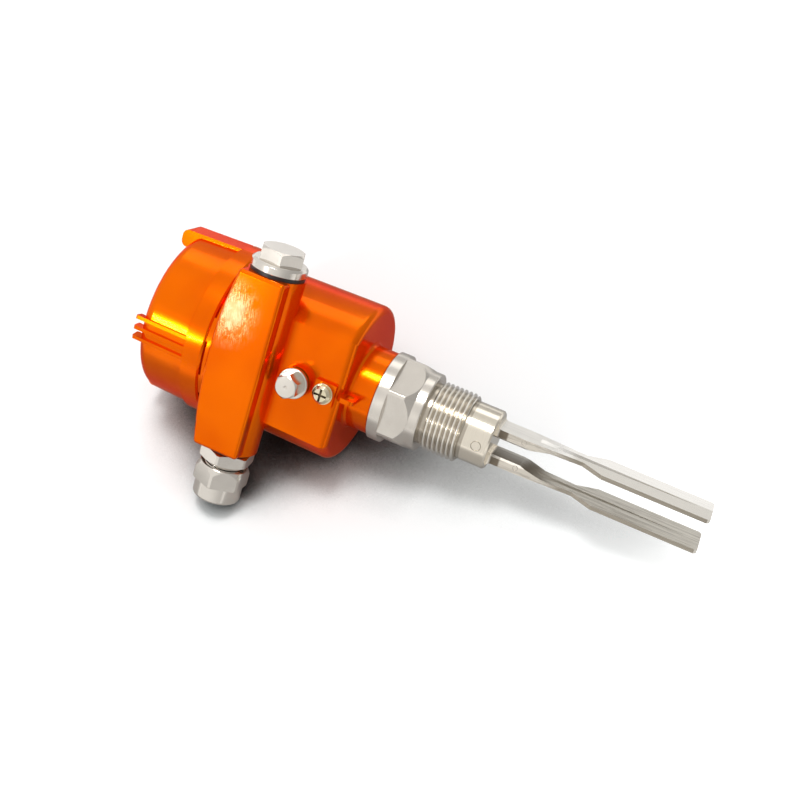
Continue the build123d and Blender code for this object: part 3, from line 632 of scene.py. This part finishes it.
def threadColumn(form, rows, share):
    # radius and height of each row at one place round the thread, chamfered at both ends
    t = pipeThread
    steps = len(form) - 1
    column = []
    for row in range(rows):
        along = row // steps + form[row % steps][0] - 1.0 + share
        z = min(max(t["low"] + along * t["pitch"], t["low"]), t["high"])
        radius = threadRadius(form, (z - t["low"]) / t["pitch"] - share)
        ends = min(z - t["low"], t["high"] - z)
        column.append((min(radius, t["crest"] - max(t["chamfer"] - ends, 0.0)), z))
    return column


def threadedSleeve(name):
    # a closed turned sleeve whose outside carries a right-handed helix
    t = pipeThread
    form = threadForm()
    steps = len(form) - 1
    pitches = int((t["high"] - t["low"]) / t["pitch"]) + 3
    rows = steps * pitches + 1
    closing = [(t["relief"], t["high"]), (t["relief"], t["top"]), (t["bore"], t["top"]),
               (t["bore"], t["end"]), (t["stem"], t["end"]), (t["stem"], t["low"])]
    made = bmesh.new()
    columns = []
    for index in range(t["columns"]):
        share = index / t["columns"]
        turn = 2 * math.pi * share
        columns.append([made.verts.new((radius * math.cos(turn), radius * math.sin(turn), z))
                        for radius, z in threadColumn(form, rows, share) + closing])
    for index, column in enumerate(columns):
        # the last column meets the first one a pitch further on
        last = index == t["columns"] - 1
        following = columns[0] if last else columns[index + 1]
        for row in range(len(column)):
            after = (row + 1) % len(column)
            pair = [row, after]
            if last:
                pair = [min(spot + steps, rows - 1) if spot < rows else spot for spot in pair]
            corners = [column[row], following[pair[0]], following[pair[1]], column[after]]
            if len(set(corners)) == 4:
                made.faces.new(corners)
            elif len(set(corners)) == 3:
                made.faces.new([column[row], following[pair[0]], column[after]])
    bmesh.ops.remove_doubles(made, verts=made.verts, dist=t["merge"])
    bmesh.ops.dissolve_degenerate(made, dist=cleaning["onPlane"], edges=made.edges)
    bmesh.ops.recalc_face_normals(made, faces=made.faces)
    mesh = bpy.data.meshes.new(name)
    shadeByAngle(made, mesh, t["crease"])
    return newObject(name, mesh)


hexagonBody = softened("process_connection", "hexagonBody", 0.25, 24.0, steps=2,
                       keepAbove=pipeThread["top"])
for obj, finish in ((hexagonBody, None), (threadedSleeve("threadedSleeve"), cutFinish)):
    finishPiece(obj, slotOf["process_connection"], "sensor", "process_connection", finish=finish)
print("process connection: hexagon body and threaded sleeve")

# ring stamps, in mm: where each lies, which way its face looks, and the radius its face bends
# round
ringStamps = {
    "sleeveRing": {"place": (-1.0, -14.16, -27.6), "out": (-0.07, -0.9975, 0.0),
                   "Radius": 2.3, "Wire": 0.2, "Bend": 14.2, "finish": cutFinish},
    "upperTineRing": {"place": (6.63, -6.73, -46.6), "out": (-0.1045, -0.9945, 0.0),
                      "Radius": 1.15, "Wire": 0.15, "Bend": 900.0,
                      "finish": finishes["stainless"]},
    "lowerTineRing": {"place": (-6.69, -5.34, -46.6), "out": (-0.1045, -0.9945, 0.0),
                      "Radius": 1.15, "Wire": 0.15, "Bend": 900.0,
                      "finish": finishes["stainless"]},
}
ringSteps = {"round": 48, "wire": 10}


def ringStampTree():
    # a thin ring swept round a circle, then bent round an axis that lies Bend below it
    tree = bpy.data.node_groups.new("ringStamp", "GeometryNodeTree")
    sockets = {}
    for name, kind in (("Radius", "Float"), ("Wire", "Float"), ("Bend", "Float"),
                       ("Finish", "Material")):
        socket = tree.interface.new_socket(name, in_out="INPUT", socket_type="NodeSocket" + kind)
        sockets[name] = socket.identifier
    tree.interface.new_socket("Geometry", in_out="OUTPUT", socket_type="NodeSocketGeometry")

    def node(kind, operation=None, **links):
        # links name an input, or give its place as i0, i1, i2
        made = tree.nodes.new(kind)
        if operation:
            made.operation = operation
        for key, value in links.items():
            socket = made.inputs[int(key[1:]) if key[1:].isdigit() else key.replace("_", " ")]
            if isinstance(value, bpy.types.NodeSocket):
                tree.links.new(value, socket)
            else:
                socket.default_value = value
        return made.outputs

    def maths(operation, **links):
        return node("ShaderNodeMath", operation, **links)[0]

    given = node("NodeGroupInput")
    ring = node("GeometryNodeCurvePrimitiveCircle", Resolution=ringSteps["round"],
                Radius=given["Radius"])["Curve"]
    wire = node("GeometryNodeCurvePrimitiveCircle", Resolution=ringSteps["wire"],
                Radius=given["Wire"])["Curve"]
    swept = node("GeometryNodeCurveToMesh", Curve=ring, Profile_Curve=wire)["Mesh"]
    spot = node("ShaderNodeSeparateXYZ", i0=node("GeometryNodeInputPosition")[0])
    swing = maths("DIVIDE", i0=spot[0], i1=given["Bend"])
    reach = maths("ADD", i0=spot[2], i1=given["Bend"])
    across = maths("MULTIPLY", i0=reach, i1=maths("SINE", i0=swing))
    height = maths("MULTIPLY", i0=reach, i1=maths("COSINE", i0=swing))
    height = maths("SUBTRACT", i0=height, i1=given["Bend"])
    bent = node("ShaderNodeCombineXYZ", i0=across, i1=spot[1], i2=height)[0]
    placed = node("GeometryNodeSetPosition", Geometry=swept, Position=bent)[0]
    smooth = node("GeometryNodeSetShadeSmooth", Geometry=placed)[0]
    whole = node("GeometryNodeRealizeInstances", Geometry=smooth)[0]
    dressed = node("GeometryNodeSetMaterial", Geometry=whole, Material=given["Finish"])[0]
    node("NodeGroupOutput", Geometry=dressed)
    return tree, sockets


def ringStamp(name, tree, sockets, stamp):
    obj = newObject(name, bpy.data.meshes.new(name))
    modifier = obj.modifiers.new("ringStamp", "NODES")
    modifier.node_group = tree
    for key in ("Radius", "Wire", "Bend"):
        modifier[sockets[key]] = stamp[key] * mm
    modifier[sockets["Finish"]] = stamp["finish"]
    seen = obj.evaluated_get(bpy.context.evaluated_depsgraph_get())
    mesh = bpy.data.meshes.new_from_object(seen)
    obj.modifiers.clear()
    obj.data = mesh
    out = Vector(stamp["out"]).normalized()
    across = Vector((0, 0, 1)).cross(out).normalized()
    mesh.transform(turned(across, out.cross(across), out, Vector(stamp["place"]) * mm))
    finishPiece(obj, "stainless", "sensor", finish=stamp["finish"])


tree, sockets = ringStampTree()
for name, stamp in ringStamps.items():
    ringStamp(name, tree, sockets, stamp)
print("ring stamps:", len(ringStamps))


# the photograph's view: the camera's place and directions in the sensor's frame, the focal
# length in the photograph's pixels, and the photograph's width
view = {
    "place": Vector((0.1816, -0.5018, -0.1026)),
    "right": Vector((0.2965, 0.3188, -0.9003)),
    "up": Vector((0.8955, 0.2348, 0.3780)),
    "back": Vector((0.3318, -0.9183, -0.2159)),
    "pixels": 1172.6,
    "width": 800.0,
    "sensor": 36.0,
    "nearest": 0.01,
}


def addCamera():
    lens = bpy.data.cameras.new("photoView")
    lens.lens = view["sensor"] * view["pixels"] / view["width"]
    lens.sensor_width = view["sensor"]
    lens.clip_start = view["nearest"]
    camera = newObject("photoView", lens)
    back = view["back"].normalized()
    up = back.cross(view["right"].normalized()).normalized()
    camera.matrix_world = turned(up.cross(back), up, back, view["place"])
    bpy.context.scene.camera = camera


addCamera()

# the table touches the body, the flange and the gland's nut. Its colour near the object is what the
# camera sees; what it bounces on the object is darker, as under a real shadow. Near the object the
# camera sees a painted contact shadow with a painted cool tint, and further out the table glows
# with painted light that clears the shadows
table = {
    "normal": Vector((0.751, -0.658, 0.053)).normalized(),
    "touch": Vector((-0.0325, 0.0261, 0.1002)),
    "radius": 1.6,
    "segments": 96,
    "fade": (0.48, 1.52),
    "colour": colour(250, 250, 250),
    "bounce": colour(150, 150, 150),
    "paleFrom": (0.14, 0.30),
    "paleInGloss": 0.2,
    "shade": colour(40, 40, 40),
    "contactReach": 0.046,
    "contactRays": 8,
    "contact": (0.27, 0.80),
    "cool": colour(243, 248, 248),
    "cooled": (0.45, 1.0),
    "glow": (0.0, 0.6),
    "clearing": (0.15, 0.27),
}


def tableFinish():
    f = Finish("paleTable")
    rays = f.node("LightPath").socket.node
    seen, glossy = (Flow(f, rays.outputs[name]) for name in ("Is Camera Ray", "Is Glossy Ray"))
    unseen = 1.0 - seen
    behind = f.node("NewGeometry", output="Backfacing")
    span = f.node("VectorMath", {"operation": "LENGTH"}, {0: f.place()}, output="Value")
    gone = f.ease(span, *table["fade"])
    pale = (seen + glossy * table["paleInGloss"] + f.ease(span, *table["paleFrom"])).atMost(1.0)
    near = f.node("AmbientOcclusion", {"samples": table["contactRays"]},
                  {"Distance": table["contactReach"]}, output="AO")
    # painted contact shadow: the floor darkens where the object is near
    contact = (f.ease(near, *table["contact"]) + unseen).atMost(1.0)
    # a painted cool tint near the object against the orange light it bounces
    cooled = (f.ease(near, *table["cooled"]) + unseen).atMost(1.0)
    cool = f.mix(cooled, table["cool"], table["colour"])
    shown = f.mix(contact, table["shade"], f.mix(pale, table["bounce"], cool))
    matt = f.node("BsdfDiffuse", values={"Color": shown})
    # painted light: further out the floor glows and clears the shadows
    glow = f.node("Emission", values={"Color": colour(255, 255, 255), "Strength": seen * f.ease(
        span, *table["clearing"], *table["glow"])})
    both = f.node("AddShader", values={0: matt, 1: glow})
    clear = f.node("BsdfTransparent")
    whole = f.node("MixShader", values={0: (behind + gone).atMost(1.0), 1: both, 2: clear})
    f.node("OutputMaterial", values={"Surface": whole})
    return f.material


def addTable():
    mesh = bpy.data.meshes.new("paleTable")
    form = bmesh.new()
    bmesh.ops.create_circle(form, cap_ends=True, radius=table["radius"],
                            segments=table["segments"])
    form.to_mesh(mesh)
    form.free()
    obj = newObject("paleTable", mesh)
    obj.data.materials.append(tableFinish())
    across = table["normal"].orthogonal().normalized()
    other = table["normal"].cross(across)
    obj.matrix_world = turned(across, other, table["normal"], table["touch"])


addTable()


def stageWays():
    # the table's directions to the picture's right and away from the viewer
    normal = table["normal"]
    far = (view["up"] - normal * view["up"].dot(normal)).normalized()
    return far.cross(normal).normalized(), far


# softboxes: height above the table, side to the picture's right, away from the viewer, and
# their size, in metres from the middle of the object, and their power in watts
middle = Vector((0.0, 0.0, 0.02))
softboxes = {
    "softboxAbove": {"height": 1.00, "side": -0.08, "away": 0.10,
                     "size": (0.26, 0.26), "power": 4.2},
    "softboxLeft": {"height": 0.62, "side": -0.88, "away": -0.54,
                    "size": (0.09, 0.22), "power": 3.0},
    "softboxBack": {"height": 0.80, "side": 0.15, "away": 1.20,
                    "size": (1.20, 0.50), "power": 2.0},
}


def addSoftbox(name, height, side, away, size, power):
    right, far = stageWays()
    lamp = bpy.data.lights.new(name, "AREA")
    lamp.shape = "RECTANGLE"
    lamp.size, lamp.size_y = size
    lamp.energy = power
    place = middle + table["normal"] * height + right * side + far * away
    back = (place - middle).normalized()
    across = far.cross(back).normalized()
    newObject(name, lamp).matrix_world = turned(across, back.cross(across), back, place)


for name, softbox in softboxes.items():
    addSoftbox(name, **softbox)

# the room: its plain light, and the pale panels on the left that gloss reflects
studio = {"ambient": 0.66, "panelRange": (-0.7, 0.75), "panelLight": (0.5, 0.95), "lean": 0.4}


def addWorld():
    world = bpy.data.worlds.new("paleStudio")
    bpy.context.scene.world = world
    world.use_nodes = True
    f = Finish("paleStudio", world.node_tree)
    rays = f.node("LightPath").socket.node
    seen, glossy, through = (Flow(f, rays.outputs[name]) for name in (
        "Is Camera Ray", "Is Glossy Ray", "Is Transmission Ray"))
    plain = (seen + through).atMost(1.0)
    x, y, z = f.parts(f.node("TexCoord", output="Generated"))
    towards = table["normal"] * studio["lean"] - stageWays()[0]
    slant = x * towards.x + y * towards.y + z * towards.z
    panels = f.ease(slant, *studio["panelRange"], *studio["panelLight"])
    strength = plain + (1.0 - plain) * (glossy * panels + (1.0 - glossy) * studio["ambient"])
    sky = f.node("Background", values={"Color": colour(255, 255, 255), "Strength": strength})
    f.node("OutputWorld", values={"Surface": sky})


addWorld()
bpy.context.scene.view_settings.view_transform = "Standard"
print("stage: camera, table, softboxes and room")
